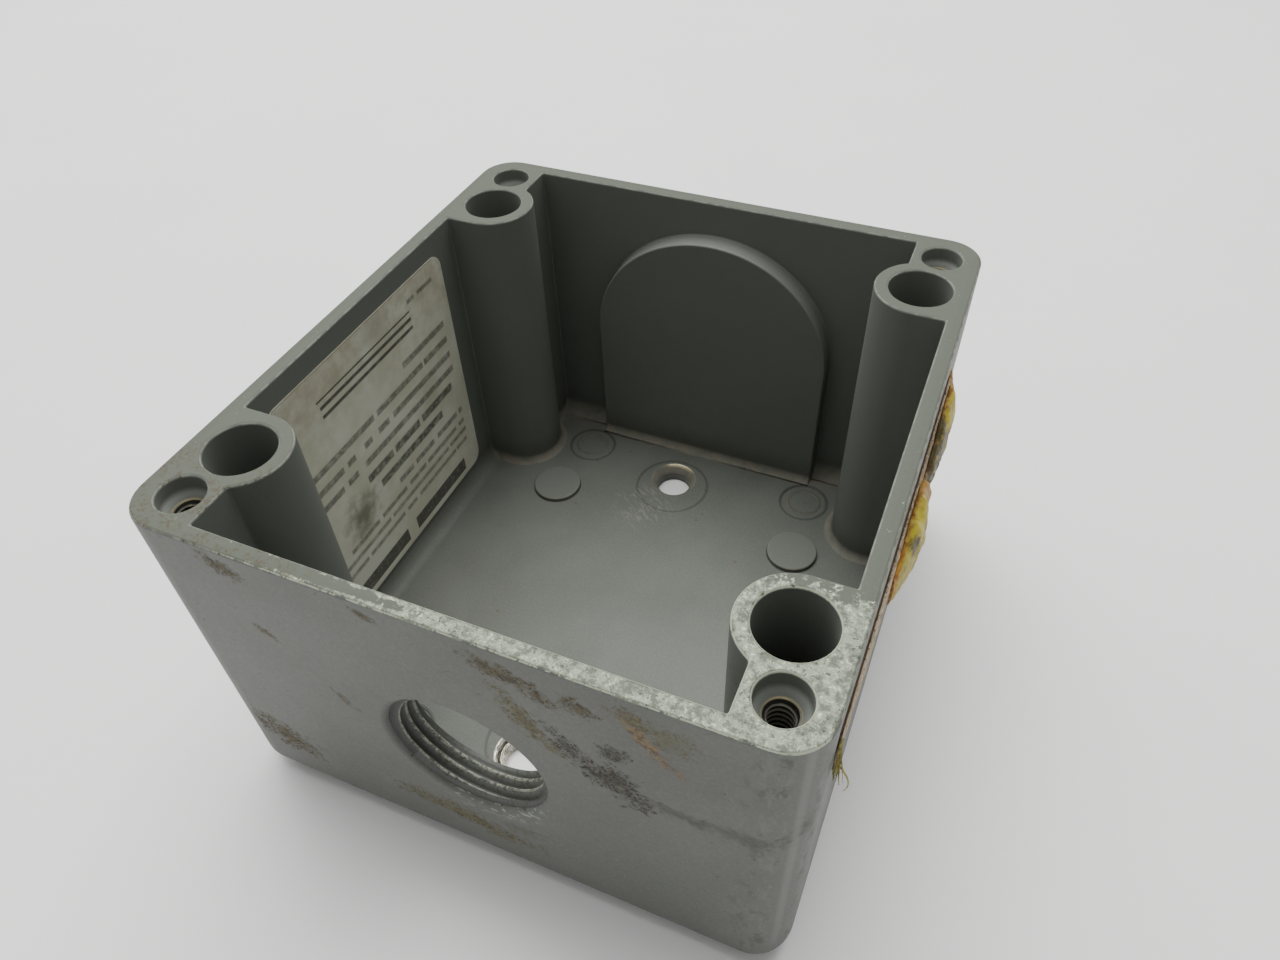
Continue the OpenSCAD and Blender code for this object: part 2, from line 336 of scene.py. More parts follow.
def casting_material():
    """Grey enamel on cast aluminium: worn rim, stained front wall, dusty inside."""
    s = Shade("painted_casting")
    side_x, side_y = s.math("ABSOLUTE", s.x), s.math("ABSOLUTE", s.y)
    boss = s.away(side_x, BOSS_X, side_y, BOSS_Y)
    screw = s.away(side_x, SCREW_X, side_y, SCREW_Y)
    fine, blotch, broad = s.noise(0.45, 4, 0.65), s.noise(3, 4, 0.6), s.noise(17, 3)
    front_right = s.times(s.ramp(s.x, -20, 14), s.ramp(s.y, -26, -38))

    # enamel with broad unevenness and grain
    paint = s.mix(s.ramp(broad, 0.3, 0.7), PAINT_DARK, PAINT_LIGHT)
    paint = s.mix(s.ramp(fine, 0.5, 0.8, 0, 0.4), paint, GRAIN_DARK)
    paint = s.mix(s.ramp(fine, 0.5, 0.25, 0, 0.22), paint, GRAIN_LIGHT)
    outside = s.most(s.ramp(side_x, HALF_W - 1, HALF_W - 0.6), s.ramp(side_y, HALF_L - 1, HALF_L - 0.6))
    scuffs = s.most(scratches(s, 0.5, (0.2, 0.9, 0.1), 0.7), scratches(s, 0.6, (0.3, -1.1, 0.2), 0.71))
    paint = s.mix(s.times(scuffs, outside, 0.5), paint, SCUFF)
    specks = s.ramp(s.noise(1.5, 2, 0.5), 0.7, 0.74)
    paint = s.mix(s.times(specks, outside, 0.7), paint, OUTER_SPECK)

    # the front right corner is rubbed
    corner = s.times(s.ramp(s.x, 38, 48), s.ramp(s.y, -40, -48), outside)
    rubbed = s.ramp(s.noise(1.1, 4, 0.7, (1, 1, 3)), 0.46, 0.62)
    paint = s.mix(s.times(corner, rubbed, 0.15), paint, RUBBED)
    smudge = s.ramp(s.noise(2.4, 4, 0.65, (1, 1, 1.7)), 0.52, 0.66)
    paint = s.mix(s.times(corner, smudge, 0.75), paint, SMUDGE)
    paint, covered = stained(s, paint)
    # painted light: the inner walls above the floor are lightened, as if more light reached inside
    inner_fill_light = s.times(s.ramp(side_x, HALF_W - 1.2, HALF_W - 1.8), s.ramp(side_y, HALF_L - 1.2, HALF_L - 1.8))
    inner_fill_light = s.times(inner_fill_light, s.ramp(s.z, FLOOR + 1, FLOOR + 8))
    paint = s.mix(s.times(inner_fill_light, 0.8), paint, INNER_FILL_LIGHT)

    # worn flecks round the lower lip of the conduit mouth
    mouth = s.away(s.x, 0, s.z, CONDUIT_Z)
    lip = s.times(s.ramp(mouth, CONDUIT_R + 4.5, CONDUIT_R + 1), s.ramp(s.z, CONDUIT_Z - 4, CONDUIT_Z - 9))
    lip = s.times(lip, s.ramp(s.y, -54, -54.6), s.ramp(s.x, -9, 0))
    flecks = s.times(lip, s.ramp(s.noise(0.7, 3, 0.6, (2.6, 1, 1)), 0.56, 0.62))
    paint = s.mix(s.times(flecks, 0.5), paint, LIP_FLECK)

    # dust in the foot fillets and over the floor's edges, scuffs by the back floor hole
    inside = s.times(s.ramp(side_x, 48.6, 48.2), s.ramp(side_y, 53.4, 53))
    low = s.times(s.ramp(s.z, 7.8, 4.6), inside)
    flat_floor = s.ramp(s.nz, 0.97, 0.995)
    by_wall = s.times(s.ramp(side_x, 43.6, 44.8), s.ramp(boss, 9.6, 10.8))
    fillet = s.times(low, s.ramp(s.nz, 0.02, 0.3), s.rest_of(flat_floor), s.rest_of(s.times(by_wall, 0.9)))
    corners = s.times(low, s.ramp(side_y, 44, 53), s.ramp(side_x, 18, 30), 0.6)
    dust = s.times(s.most(fillet, corners), s.ramp(blotch, 0.3, 0.62, 0.2, 0.85))
    paint = s.mix(dust, paint, DUST)
    gritty = s.times(s.ramp(s.noise(0.6, 3, 0.6), 0.6, 0.68), s.ramp(s.noise(2.5, 2), 0.52, 0.62))
    grit = s.times(gritty, s.most(fillet, corners))
    paint = s.mix(s.times(grit, 0.8), paint, GRIT)
    crumbs = s.times(s.ramp(s.cells(6), 0.075, 0.035), low, flat_floor)
    paint = s.mix(s.times(crumbs, 0.8), paint, CRUMB)
    pad = s.away(side_x, FLOOR_PAD_X, side_y, FLOOR_PAD_Y)
    on_pad = s.times(s.ramp(pad, FLOOR_PAD_R + 0.2, FLOOR_PAD_R + 0.05), low)
    # painted light on the tops of the floor pads and painted shade round their feet
    paint = s.mix(s.times(on_pad, s.ramp(s.z, FLOOR + 0.8, FLOOR + 0.95), 0.4), paint, PAD_TOP_LIGHT)
    paint = s.mix(s.times(on_pad, s.ramp(s.z, FLOOR + 0.9, FLOOR + 0.5), 0.75), paint, PAD_FOOT_SHADE)
    # painted shade along the grooves of the ejector marks and of the cast circles round the floor holes
    ring = s.away(side_x, RING_X, side_y, RING_Y)
    circle = s.away(s.x, CIRCLE_X, side_y, CIRCLE_Y)
    lines = s.most(
        s.ramp(s.math("ABSOLUTE", s.math("SUBTRACT", ring, RING_R)), 0.4, 0.2),
        s.ramp(s.math("ABSOLUTE", s.math("SUBTRACT", ring, RING_INNER_R)), 0.45, 0.25, 0, 0.5),
        s.ramp(s.math("ABSOLUTE", s.math("SUBTRACT", circle, CIRCLE_R)), 0.3, 0.15, 0, 0.8),
    )
    on_floor = s.ramp(s.z, FLOOR + 0.4, FLOOR + 0.3)
    paint = s.mix(s.times(lines, low, on_floor, 0.5), paint, GROOVE_SHADE)
    by_hole = s.ramp(s.away(s.x, -7, s.y, 27.5), 9, 3)
    scuffed = s.times(by_hole, low, scratches(s, 0.45, (1.4, 0.2, 0.9), 0.56))
    paint = s.mix(s.times(scuffed, 0.28), paint, FLOOR_SCUFF)

    # painted shade down the boss bores, growing with depth, and in the counterbores of the cover screws
    bore = s.times(s.ramp(boss, BOSS_BORE_R + 0.3, BOSS_BORE_R + 0.1), s.ramp(s.z, RIM_Z - 1, RIM_Z - 34))
    paint = s.mix(s.times(bore, 0.85), paint, BORE_SHADE)
    cone = s.times(s.ramp(screw, TAP_R + 1.2, TAP_R + 0.4), s.ramp(s.z, RIM_Z - 1.8, RIM_Z - 2.4))
    paint = s.mix(s.times(cone, 0.55), paint, CONE_SHADE)

    # rim and its edges: duller enamel, and a painted highlight along the rounded edges
    top = s.times(s.ramp(s.z, RIM_Z - 0.8, RIM_Z - 0.5), s.ramp(s.nz, 0.1, 0.45))
    rim = s.times(s.ramp(s.z, RIM_Z - 0.3, RIM_Z - 0.12), s.ramp(s.nz, 0.75, 0.93))
    edge = s.times(top, s.rest_of(rim))
    paint = s.mix(s.times(rim, 0.9), paint, s.mix(s.ramp(fine, 0.3, 0.7), RIM_PAINT_DARK, RIM_PAINT))
    # painted highlight along the rounded edges of the rim
    glint = s.times(edge, s.ramp(s.noise(2.2, 3), 0.4, 0.6))
    paint = s.mix(s.times(glint, 0.5), paint, EDGE_GLINT)

    # bare metal: the front right of the rim, chipped front lip
    ragged = s.times(s.math("SUBTRACT", s.noise(2.0, 5, 0.7), 0.5), 1.7)
    across = s.math("ABSOLUTE", s.math("SUBTRACT", side_y, HALF_L - 1.4))
    near_lip = s.times(s.ramp(across, 0.35, 0.9), s.ramp(s.y, -50, -52), s.ramp(side_x, 38, 34))
    worn = s.ramp(s.plus(front_right, ragged, s.times(near_lip, s.ramp(s.x, -34, -20), 0.45)), 0.42, 0.56)
    outer = s.most(s.ramp(s.x, HALF_W - 0.7, HALF_W - 0.4), s.ramp(side_y, HALF_L - 0.7, HALF_L - 0.4))
    chips = s.times(
        s.ramp(s.nz, 0.4, 0.6), s.ramp(s.x, -38, -26),
        s.ramp(s.y, -52, -54), s.ramp(s.noise(1.4, 4, 0.65), 0.44, 0.5),
    )
    inner_edge = s.times(edge, s.rest_of(outer), s.ramp(s.plus(front_right, s.times(ragged, 0.6)), 0.3, 0.5))
    nicked = s.times(top, s.ramp(s.noise(0.9, 3), 0.7, 0.73))
    bare = s.most(s.times(rim, worn), s.times(edge, outer, chips), inner_edge, s.times(nicked, 0.8))
    streaks, flakes = s.noise(1.3, 5, 0.75), s.noise(0.5, 4, 0.7)
    metal = s.mix(s.ramp(streaks, 0.38, 0.56), BARE_DARK, BARE_LIGHT)
    # worn bare metal is real; its brightest flakes, the worn inner edges and the chipped front lip get
    # painted highlights
    bare_highlight = s.most(s.times(s.ramp(flakes, 0.5, 0.64), s.ramp(streaks, 0.42, 0.6)), s.times(inner_edge, 0.75))
    bare_highlight = s.most(bare_highlight, s.times(edge, outer, chips, 0.8))
    metal = s.mix(s.times(bare_highlight, 0.85), metal, BARE_HIGHLIGHT)
    pits = s.times(s.ramp(s.noise(0.5, 2, 0.5), 0.61, 0.67), s.ramp(blotch, 0.4, 0.6), 0.9)
    colour = s.mix(bare, paint, s.mix(pits, metal, PIT))

    # dirt ground into the front left of the rim
    dirty = s.times(
        top, s.ramp(s.x, -12, -26), s.ramp(s.y, -34, -44),
        s.ramp(s.noise(0.55, 4, 0.8), 0.5, 0.57), s.ramp(s.noise(3.4, 3, 0.6), 0.42, 0.56),
    )
    colour = s.mix(s.times(dirty, 0.9), colour, GROUND_DIRT)
    speck = s.times(top, s.ramp(s.cells(3.0), 0.085, 0.04))
    colour = s.mix(s.times(speck, 0.75), colour, PIT)

    # machined brightness round the taps and in the front floor hole, and a painted highlight on an arc of the
    # back floor hole's countersink
    tap = s.times(s.ramp(screw, TAP_R + 0.3, TAP_R + 0.16), s.ramp(s.z, RIM_Z - 2.5, RIM_Z - 2.9))
    front_sink = s.away(s.x, FLOOR_HOLE_X, s.y, -FLOOR_HOLE_Y)
    front_hole = s.times(
        s.ramp(front_sink, SINK_R + 0.25, SINK_R + 0.05),
        s.ramp(s.nz, 0.985, 0.95), s.ramp(s.z, FLOOR + 0.2, FLOOR + 0.05),
    )
    back_hole = s.away(s.x, FLOOR_HOLE_X, s.y, FLOOR_HOLE_Y)
    # painted highlight: a bright arc on the far side of the back floor hole's countersink
    arc_highlight = s.times(
        s.ramp(back_hole, SINK_R + 0.2, SINK_R), s.ramp(back_hole, SINK_R - 0.9, SINK_R - 0.6),
        s.ramp(s.y, FLOOR_HOLE_Y + 3.4, FLOOR_HOLE_Y + 4.6), s.ramp(s.nz, 0.99, 0.95),
    )
    machined_and_highlight = s.most(s.times(tap, 0.8), front_hole, s.times(arc_highlight, 0.7))
    steps = s.ramp(s.math("SINE", s.times(front_sink, 5.5)), -0.4, 0.3)
    cut_metal = s.mix(steps, CUT_DARK, CUT_BRIGHT)
    colour = s.mix(machined_and_highlight, colour, s.mix(front_hole, MACHINED_AND_GLEAM, cut_metal))

    height = s.plus(
        s.times(fine, 0.012), s.times(blotch, 0.02), s.times(covered, 0.09, fine),
        s.times(bare, s.math("SUBTRACT", s.times(streaks, 0.07), s.times(pits, 0.06))),
        s.times(front_hole, s.plus(s.times(s.noise(1.1, 3, 0.6, (1, 1, 0.5)), 0.5), s.times(steps, 0.15))),
    )
    roughness = s.plus(
        0.48, s.times(fine, 0.12), s.times(rim, 0.1), s.times(covered, 0.3), s.times(dust, 0.35),
    )
    return s.set(
        Base_Color=colour,
        Specular_IOR_Level=0.35,
        Metallic=s.most(s.times(machined_and_highlight, 0.9), s.times(bare, 0.25)),
        Roughness=s.blend(machined_and_highlight, s.blend(bare, roughness, 0.48), 0.3),
        Normal=s.bump(height, 1),
    )


# Edges sharper than ROUNDED_OVER are rounded: the rim's by ROUND_RIM mm, the others by a share of it.
ROUNDED_OVER = math.radians(32)
ROUND_RIM, ROUND_REST = 0.5, 0.8
WELD_WITHIN, FLAT_WITHIN = 1e-6, math.radians(0.5)


def rounding_weights():
    """Modifier nodes that weigh the sharp edges to round.

    Rim edges count fully and the others less. The edges of the thin floor marks and floor holes,
    and the bottom edge, which is round already, do not count at all.
    """
    tree = bpy.data.node_groups.new("rounding_weights", "GeometryNodeTree")
    tree.interface.new_socket("Geometry", in_out="INPUT", socket_type="NodeSocketGeometry")
    tree.interface.new_socket("Geometry", in_out="OUTPUT", socket_type="NodeSocketGeometry")

    def node(kind, *values, **settings):
        made = tree.nodes.new(kind)
        for key, value in settings.items():
            setattr(made, key, value)
        for socket, value in zip(made.inputs, values):
            if isinstance(value, bpy.types.NodeSocket):
                tree.links.new(value, socket)
            elif value is not None:
                socket.default_value = value
        return made.outputs

    def math_node(operation, a, b):
        return node("ShaderNodeMath", a, b, operation=operation)[0]

    z = node("ShaderNodeSeparateXYZ", node("GeometryNodeInputPosition")[0])["Z"]
    sharp = math_node("GREATER_THAN", node("GeometryNodeInputMeshEdgeAngle")[0], ROUNDED_OVER)
    from_marks = math_node("ABSOLUTE", math_node("SUBTRACT", z, (FLOOR - 0.15) * MM), None)
    on_floor = math_node("LESS_THAN", from_marks, 0.25 * MM)
    already_round = math_node("LESS_THAN", z, 1 * MM)
    left_alone = math_node("MAXIMUM", on_floor, already_round)
    rim = math_node("GREATER_THAN", z, (RIM_Z - 0.1) * MM)
    weight = math_node("ADD", ROUND_REST, math_node("MULTIPLY", rim, 1 - ROUND_REST))
    weight = math_node("MULTIPLY", weight, sharp)
    weight = math_node("MULTIPLY", weight, math_node("SUBTRACT", 1, left_alone))
    source = tree.nodes.new("NodeGroupInput")
    store = tree.nodes.new("GeometryNodeStoreNamedAttribute")
    store.data_type, store.domain = "FLOAT", "EDGE"
    store.inputs["Name"].default_value = "bevel_weight_edge"
    tree.links.new(source.outputs[0], store.inputs["Geometry"])
    tree.links.new(weight, store.inputs["Value"])
    tree.links.new(store.outputs[0], tree.nodes.new("NodeGroupOutput").inputs[0])
    return tree


def finish_casting():
    """Rounds the casting's CAD edges and gives it its enamel."""
    casting = frame["nodes"]["cast_body"]
    casting.modifiers.new("weld", "WELD").merge_threshold = WELD_WITHIN
    flat = casting.modifiers.new("flat", "DECIMATE")
    flat.decimate_type, flat.angle_limit = "DISSOLVE", FLAT_WITHIN
    casting.modifiers.new("weights", "NODES").node_group = rounding_weights()
    bevel = casting.modifiers.new("edges", "BEVEL")
    bevel.width, bevel.segments, bevel.use_clamp_overlap = ROUND_RIM * MM, 3, False
    bevel.limit_method = "WEIGHT"
    shading = casting.modifiers.new("shading", "WEIGHTED_NORMAL")
    shading.weight, shading.keep_sharp = 100, False
    for polygon in casting.data.polygons:
        polygon.use_smooth = True
    casting.data.materials.clear()
    casting.data.materials.append(casting_material())


# ---------------------------------------------------------------- mesh helpers


def new_piece(name, made, material, replaced=()):
    """A finished piece from a bmesh in millimetres, riding on the enclosure."""
    bmesh.ops.scale(made, vec=(MM, MM, MM), verts=made.verts)
    bmesh.ops.recalc_face_normals(made, faces=made.faces)
    mesh = bpy.data.meshes.new(name)
    made.to_mesh(mesh)
    made.free()
    mesh.materials.append(material)
    for polygon in mesh.polygons:
        polygon.use_smooth = True
    piece = bpy.data.objects.new(name, mesh)
    bpy.context.scene.collection.objects.link(piece)
    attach(piece, "root")
    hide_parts(*replaced)
    return piece


def loft(made, rings):
    """Adds a closed solid through rings of the same number of points."""
    loops = [[made.verts.new(point) for point in ring] for ring in rings]
    count = len(rings[0])
    for low, high in zip(loops, loops[1:]):
        for index in range(count):
            after = (index + 1) % count
            made.faces.new((low[index], low[after], high[after], high[index]))
    made.faces.new(loops[0][::-1])
    made.faces.new(loops[-1])


def between(points, at):
    """Smooth value at a place along sorted (place, value) points."""
    for (place_a, value_a), (place_b, value_b) in zip(points, points[1:]):
        if at <= place_b:
            share = min(max((at - place_a) / (place_b - place_a), 0), 1)
            return value_a + (value_b - value_a) * share * share * (3 - 2 * share)
    return points[-1][1]


def wobble(x, y, z=0.0, octaves=3):
    """Repeatable noise from about -1 to 1."""
    return noise.fractal(Vector((x, y, z)), 1.0, 2.0, octaves)


# ---------------------------------------------------------------- screw threads

# Corners of a thread's section: share of the pitch, and share of the way from root to crest.
THREAD_SECTION = ((0.0, 0), (0.1, 0), (0.47, 1), (0.6, 1), (0.97, 0))
SLEEVE_SHELL, IN_BORE = 0.25, 0.02
INCH = 25.4
CONDUIT_PITCH, CONDUIT_CHAMFER, CONDUIT_COLUMNS = INCH / 14, 0.7, 96
CONDUIT_ROOT_R, CONDUIT_CREST_R = CONDUIT_R - 0.04, CONDUIT_R - 1.3
NPT_TAPER = 1 / 32
TAP_PITCH, TAP_DEPTH, TAP_TOP, TAP_CREST = INCH / 24, 14, 3.7, 0.42
TORN_PITCH, TORN_FOOT, TORN_LENGTH, TORN_CREST = 1.1, 0.1, 2.2, 0.5
SMALL_COLUMNS = 40


def internal_thread(start, along, length, root_r, crest_r, pitch, columns, taper=0.0):
    """Closed sleeve with a true right-hand helical thread inside, cut flush at both ends.

    Its rows follow the helix through the corners of the thread's section, so each row meets,
    after one turn, the row that is a pitch further on.
    """
    to_axis = Vector(along).to_track_quat("Z", "Y").to_matrix()
    step, turns = len(THREAD_SECTION), math.ceil(length / pitch) + 1
    rows = [(turn + part, share) for turn in range(-1, turns) for part, share in THREAD_SECTION]

    def spot(at, radius, column):
        angle = TAU * column / columns
        return to_axis @ Vector((radius * math.cos(angle), radius * math.sin(angle), at)) + Vector(start)

    def thread_spot(turn, share, column):
        at = (turn + column / columns) * pitch
        run_out = min(max(min(at, length - at) / (0.3 * pitch), 0), 1)
        at = min(max(at, 0), length)
        return spot(at, root_r + (crest_r - root_r) * share * run_out - taper * at, column)

    made = bmesh.new()
    outer = [[spot(at, root_r + SLEEVE_SHELL, column) for column in range(columns)] for at in (0, length)]
    rings = [outer[0]]
    rings += [[thread_spot(turn, share, column) for column in range(columns)] for turn, share in rows]
    rings.append(outer[1])
    loops = [[made.verts.new(point) for point in ring] for ring in rings]
    last = len(loops) - 1
    for low in range(len(loops)):
        high = (low + 1) % len(loops)
        for column in range(columns):
            after = (column + 1) % columns

            def next_row(row):
                helical = after == 0 and 0 < row < last
                return min(row + step, last - 1) if helical else row

            corners = (
                loops[low][column], loops[next_row(low)][after],
                loops[next_row(high)][after], loops[high][column],
            )
            corners = list(dict.fromkeys(corners))
            if len(corners) > 2:
                made.faces.new(corners)
    bmesh.ops.remove_doubles(made, verts=made.verts, dist=1e-4)
    bmesh.ops.dissolve_degenerate(made, edges=made.edges, dist=1e-4)
    return made


def conduit_thread_material():
    """Enamel with painted shade in the grooves, worn and speckled on the crests."""
    s = Shade("conduit_thread_enamel")
    radius = s.away(s.x, 0, s.z, CONDUIT_Z)
    grain, streak = s.noise(0.5, 4, 0.7), s.noise(0.8, 4, 0.7)
    groove_shade = s.ramp(radius, CONDUIT_CREST_R + 0.1, CONDUIT_ROOT_R)
    paint = s.mix(s.ramp(grain, 0.3, 0.7), (0.085, 0.09, 0.083), (0.125, 0.132, 0.12))
    # painted shade, deepest at the thread roots
    paint = s.mix(s.times(groove_shade, 0.75), paint, (0.035, 0.037, 0.034))
    crest = s.times(s.ramp(radius, CONDUIT_CREST_R + 0.2, CONDUIT_CREST_R + 0.06), s.ramp(streak, 0.42, 0.52))
    colour = s.mix(s.times(crest, 0.8), paint, (0.34, 0.34, 0.28))
    rust = s.times(s.ramp(s.noise(0.7, 4, 0.75), 0.52, 0.6), s.ramp(s.z, CONDUIT_Z, CONDUIT_Z - 9))
    colour = s.mix(s.times(rust, 0.75), colour, (0.05, 0.043, 0.025))
    height = s.plus(s.times(grain, 0.08), s.times(streak, 0.05))
    return s.set(Base_Color=colour, Roughness=s.ramp(grain, 0.3, 0.7, 0.42, 0.6), Normal=s.bump(height, 1))


def machined_material(name, dark, light, roughness, chatter):
    """Bare cut metal with fine tool marks and some grime."""
    s = Shade(name)
    marks, grime = s.noise(0.35, 4, 0.7, (1, 1, 0.6)), s.noise(1.1, 4, 0.65)
    colour = s.mix(s.ramp(grime, 0.35, 0.65), dark, light)
    return s.set(
        Base_Color=colour,
        Metallic=0.9,
        Roughness=s.ramp(marks, 0.3, 0.7, roughness, roughness + 0.2),
        Normal=s.bump(s.times(marks, chatter), 1),
    )


def tapped_material():
    """Nearly black roots and bright crests of the cover-screw threads."""
    s = Shade("tapped_metal")
    radius = s.away(s.math("ABSOLUTE", s.x), SCREW_X, s.math("ABSOLUTE", s.y), SCREW_Y)
    grime = s.noise(0.6, 4, 0.7)
    crest = s.ramp(s.plus(radius, s.times(grime, 0.2)), TAP_R - 0.1, TAP_R - 0.28)
    colour = s.mix(crest, s.mix(grime, (0.02, 0.02, 0.018), (0.06, 0.058, 0.052)), (0.42, 0.41, 0.36))
    return s.set(Base_Color=colour, Metallic=0.6, Roughness=s.ramp(grime, 0.3, 0.7, 0.3, 0.5))


def add_ejector_rings():
    """Low raised ring inside each of the four ejector marks on the floor."""
    made = bmesh.new()
    section = ((-0.5, -0.1), (-0.3, 0.14), (0.3, 0.14), (0.5, -0.1))
    turns = 64
    for side_x, side_y in ((-1, -1), (1, -1), (-1, 1), (1, 1)):
        rows = []
        for turn in range(turns):
            angle = TAU * turn / turns
            rows.append([
                made.verts.new((
                    side_x * RING_X + (RING_INNER_R + off) * math.cos(angle),
                    side_y * RING_Y + (RING_INNER_R + off) * math.sin(angle), FLOOR + rise,
                ))
                for off, rise in section
            ])
        for row, after in zip(rows, rows[1:] + rows[:1]):
            for index in range(len(section)):
                other = (index + 1) % len(section)
                made.faces.new((row[index], row[other], after[other], after[index]))
    material = frame["nodes"]["cast_body"].data.materials[0]
    new_piece("ejector_rings", made, material)


def add_threads():
    """Threads of the conduit entry and the four cover screws, and the rough front floor hole."""
    made = internal_thread(
        (0, -HALF_L + CONDUIT_CHAMFER, CONDUIT_Z), (0, 1, 0), CONDUIT_LENGTH,
        CONDUIT_ROOT_R, CONDUIT_CREST_R, CONDUIT_PITCH, CONDUIT_COLUMNS, NPT_TAPER,
    )
    new_piece("conduit_thread", made, conduit_thread_material())
    steel = tapped_material()
    corners = {"front_left": (-1, -1), "front_right": (1, -1), "back_left": (-1, 1), "back_right": (1, 1)}
    for corner, (side_x, side_y) in corners.items():
        start = (side_x * SCREW_X, side_y * SCREW_Y, RIM_Z - TAP_TOP)
        made = internal_thread(
            start, (0, 0, -1), TAP_DEPTH, TAP_R - IN_BORE, TAP_R - TAP_CREST, TAP_PITCH, SMALL_COLUMNS
        )
        new_piece("cover_screw_thread_" + corner, made, steel)
    bright = machined_material("torn_bright_metal", (0.45, 0.43, 0.36), (0.85, 0.82, 0.74), 0.2, 0.3)
    made = internal_thread(
        (FLOOR_HOLE_X, -FLOOR_HOLE_Y, TORN_FOOT), (0, 0, 1), TORN_LENGTH,
        FLOOR_HOLE_R - IN_BORE, FLOOR_HOLE_R - TORN_CREST, TORN_PITCH, SMALL_COLUMNS,
    )
    new_piece("front_floor_hole_thread", made, bright)


# ---------------------------------------------------------------- label

LABEL_LOW, LABEL_TOP = (corner.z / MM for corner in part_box("instruction_label"))
# Print on the label, lying upside down: centre Z, height, first and last Y, and weight of each line.
PRINT_LINES = (
    (17.3, 1.5, 21.8, -26, 0.62), (19.9, 1.5, 21.8, -26, 0.62),
    (22.5, 1.6, 21.8, -21, 0.65), (25.6, 1.8, 21.8, -3, 0.7), (29.6, 2.3, 15, -8, 0.85),
    (33.4, 2.3, 20, -11, 0.85), (37.2, 1.9, 21.8, -26, 0.7), (40.9, 1.9, 21.8, -26, 0.7),
    (44.7, 1.9, 21.8, -24, 0.7), (48.5, 1.9, 21.8, 6.5, 0.7), (59.6, 1.4, 22, 12, 0.7),
)
# Solid bars of the print: centre Z, height, first and last Y.
PRINT_BARS = (
    (54.1, 0.8, 12.4, -16.5), (56.0, 0.8, 12.4, -16.5), (57.6, 0.45, 12.4, -17),
    (11.3, 3.4, 18.8, -1.6), (11.3, 3.4, -4.6, -26.5),
)


def label_material():
    """Dirty off-white film whose print is nothing but plain word-long bars, faded in places."""
    s = Shade("label_print")
    dirt, stain, fine = s.noise(9, 4, 0.6), s.noise(3.2, 4, 0.65), s.noise(0.5, 3, 0.6)
    paper = s.mix(s.ramp(dirt, 0.35, 0.65), (0.8, 0.795, 0.69), (0.68, 0.67, 0.54))
    paper = s.mix(s.times(s.ramp(s.z, 44, 60), s.ramp(stain, 0.3, 0.7), 0.55), paper, (0.45, 0.4, 0.27))
    fade = s.ramp(s.noise(1.4, 3, 0.6), 0.3, 0.6, 0.55, 1)
    ink = 0.0
    for centre, height, first, last, weight in PRINT_LINES:
        row = s.ramp(s.math("ABSOLUTE", s.math("SUBTRACT", s.z, centre)), height / 2, height / 2 - 0.45)
        reach = s.times(s.ramp(s.y, first, first - 0.3), s.ramp(s.y, last, last + 0.3))
        words = s.noise(height * 1.5, 0, 0.5, where=s.join(s.y, centre * 7))
        ink = s.most(s.times(row, reach, s.ramp(words, 0.3, 0.34), fade, weight), ink)
    for centre, height, first, last in PRINT_BARS:
        off_centre = s.math("ABSOLUTE", s.math("SUBTRACT", s.z, centre))
        row = s.ramp(off_centre, height / 2 + 0.08, height / 2 - 0.12)
        ends = s.times(s.ramp(s.y, first, first - 0.25), s.ramp(s.y, last, last + 0.25))
        ink = s.most(s.times(row, ends, s.ramp(fade, 0.5, 0.8, 0.75, 0.9)), ink)
    colour = s.mix(s.times(ink, s.ramp(fine, 0.25, 0.5, 0.8, 1)), paper, (0.06, 0.06, 0.053))
    smudges = s.most(
        s.ramp(s.plus(s.away(s.y, -15, s.z, 28), s.times(stain, 11)), 12.5, 5.5),
        s.times(s.ramp(s.plus(s.away(s.y, 12, s.z, 37), s.times(stain, 10)), 12, 5), 0.2),
        s.times(s.ramp(s.plus(s.away(s.y, 2, s.z, 61), s.times(stain, 8)), 9, 4), 0.35),
    )
    colour = s.mix(s.times(smudges, 0.72), colour, (0.105, 0.095, 0.05))
    edge = s.most(s.ramp(s.z, LABEL_LOW + 0.5, LABEL_LOW), s.ramp(s.z, LABEL_TOP - 0.5, LABEL_TOP))
    colour = s.mix(s.times(edge, 0.5), colour, (0.25, 0.22, 0.16))
    height = s.plus(s.times(fine, 0.012), s.times(dirt, 0.05))
    return s.set(Base_Color=colour, Roughness=s.ramp(stain, 0.3, 0.7, 0.42, 0.62), Normal=s.bump(height, 1))


def finish_label():
    """Gives the CAD label its print and dirt."""
    label = frame["nodes"]["instruction_label"]
    label.data.materials.clear()
    label.data.materials.append(label_material())


# ---------------------------------------------------------------- residue on the right wall


def strip_material(name, light, dark, roughness):
    """Torn backing: streaks along the strip, dirt in its frayed edge."""
    s = Shade(name)
    streak, fibre = s.noise(2.2, 4, 0.65, (1, 5, 0.5)), s.noise(0.3, 4, 0.7, (1, 6, 1))
    colour = s.mix(s.ramp(streak, 0.35, 0.65), dark, light)
    colour = s.mix(s.times(s.ramp(s.noise(0.8, 4, 0.7), 0.5, 0.6), 0.8), colour, (0.11, 0.07, 0.035))
    return s.set(Base_Color=colour, Roughness=roughness, Normal=s.bump(s.times(fibre, 0.2), 1))


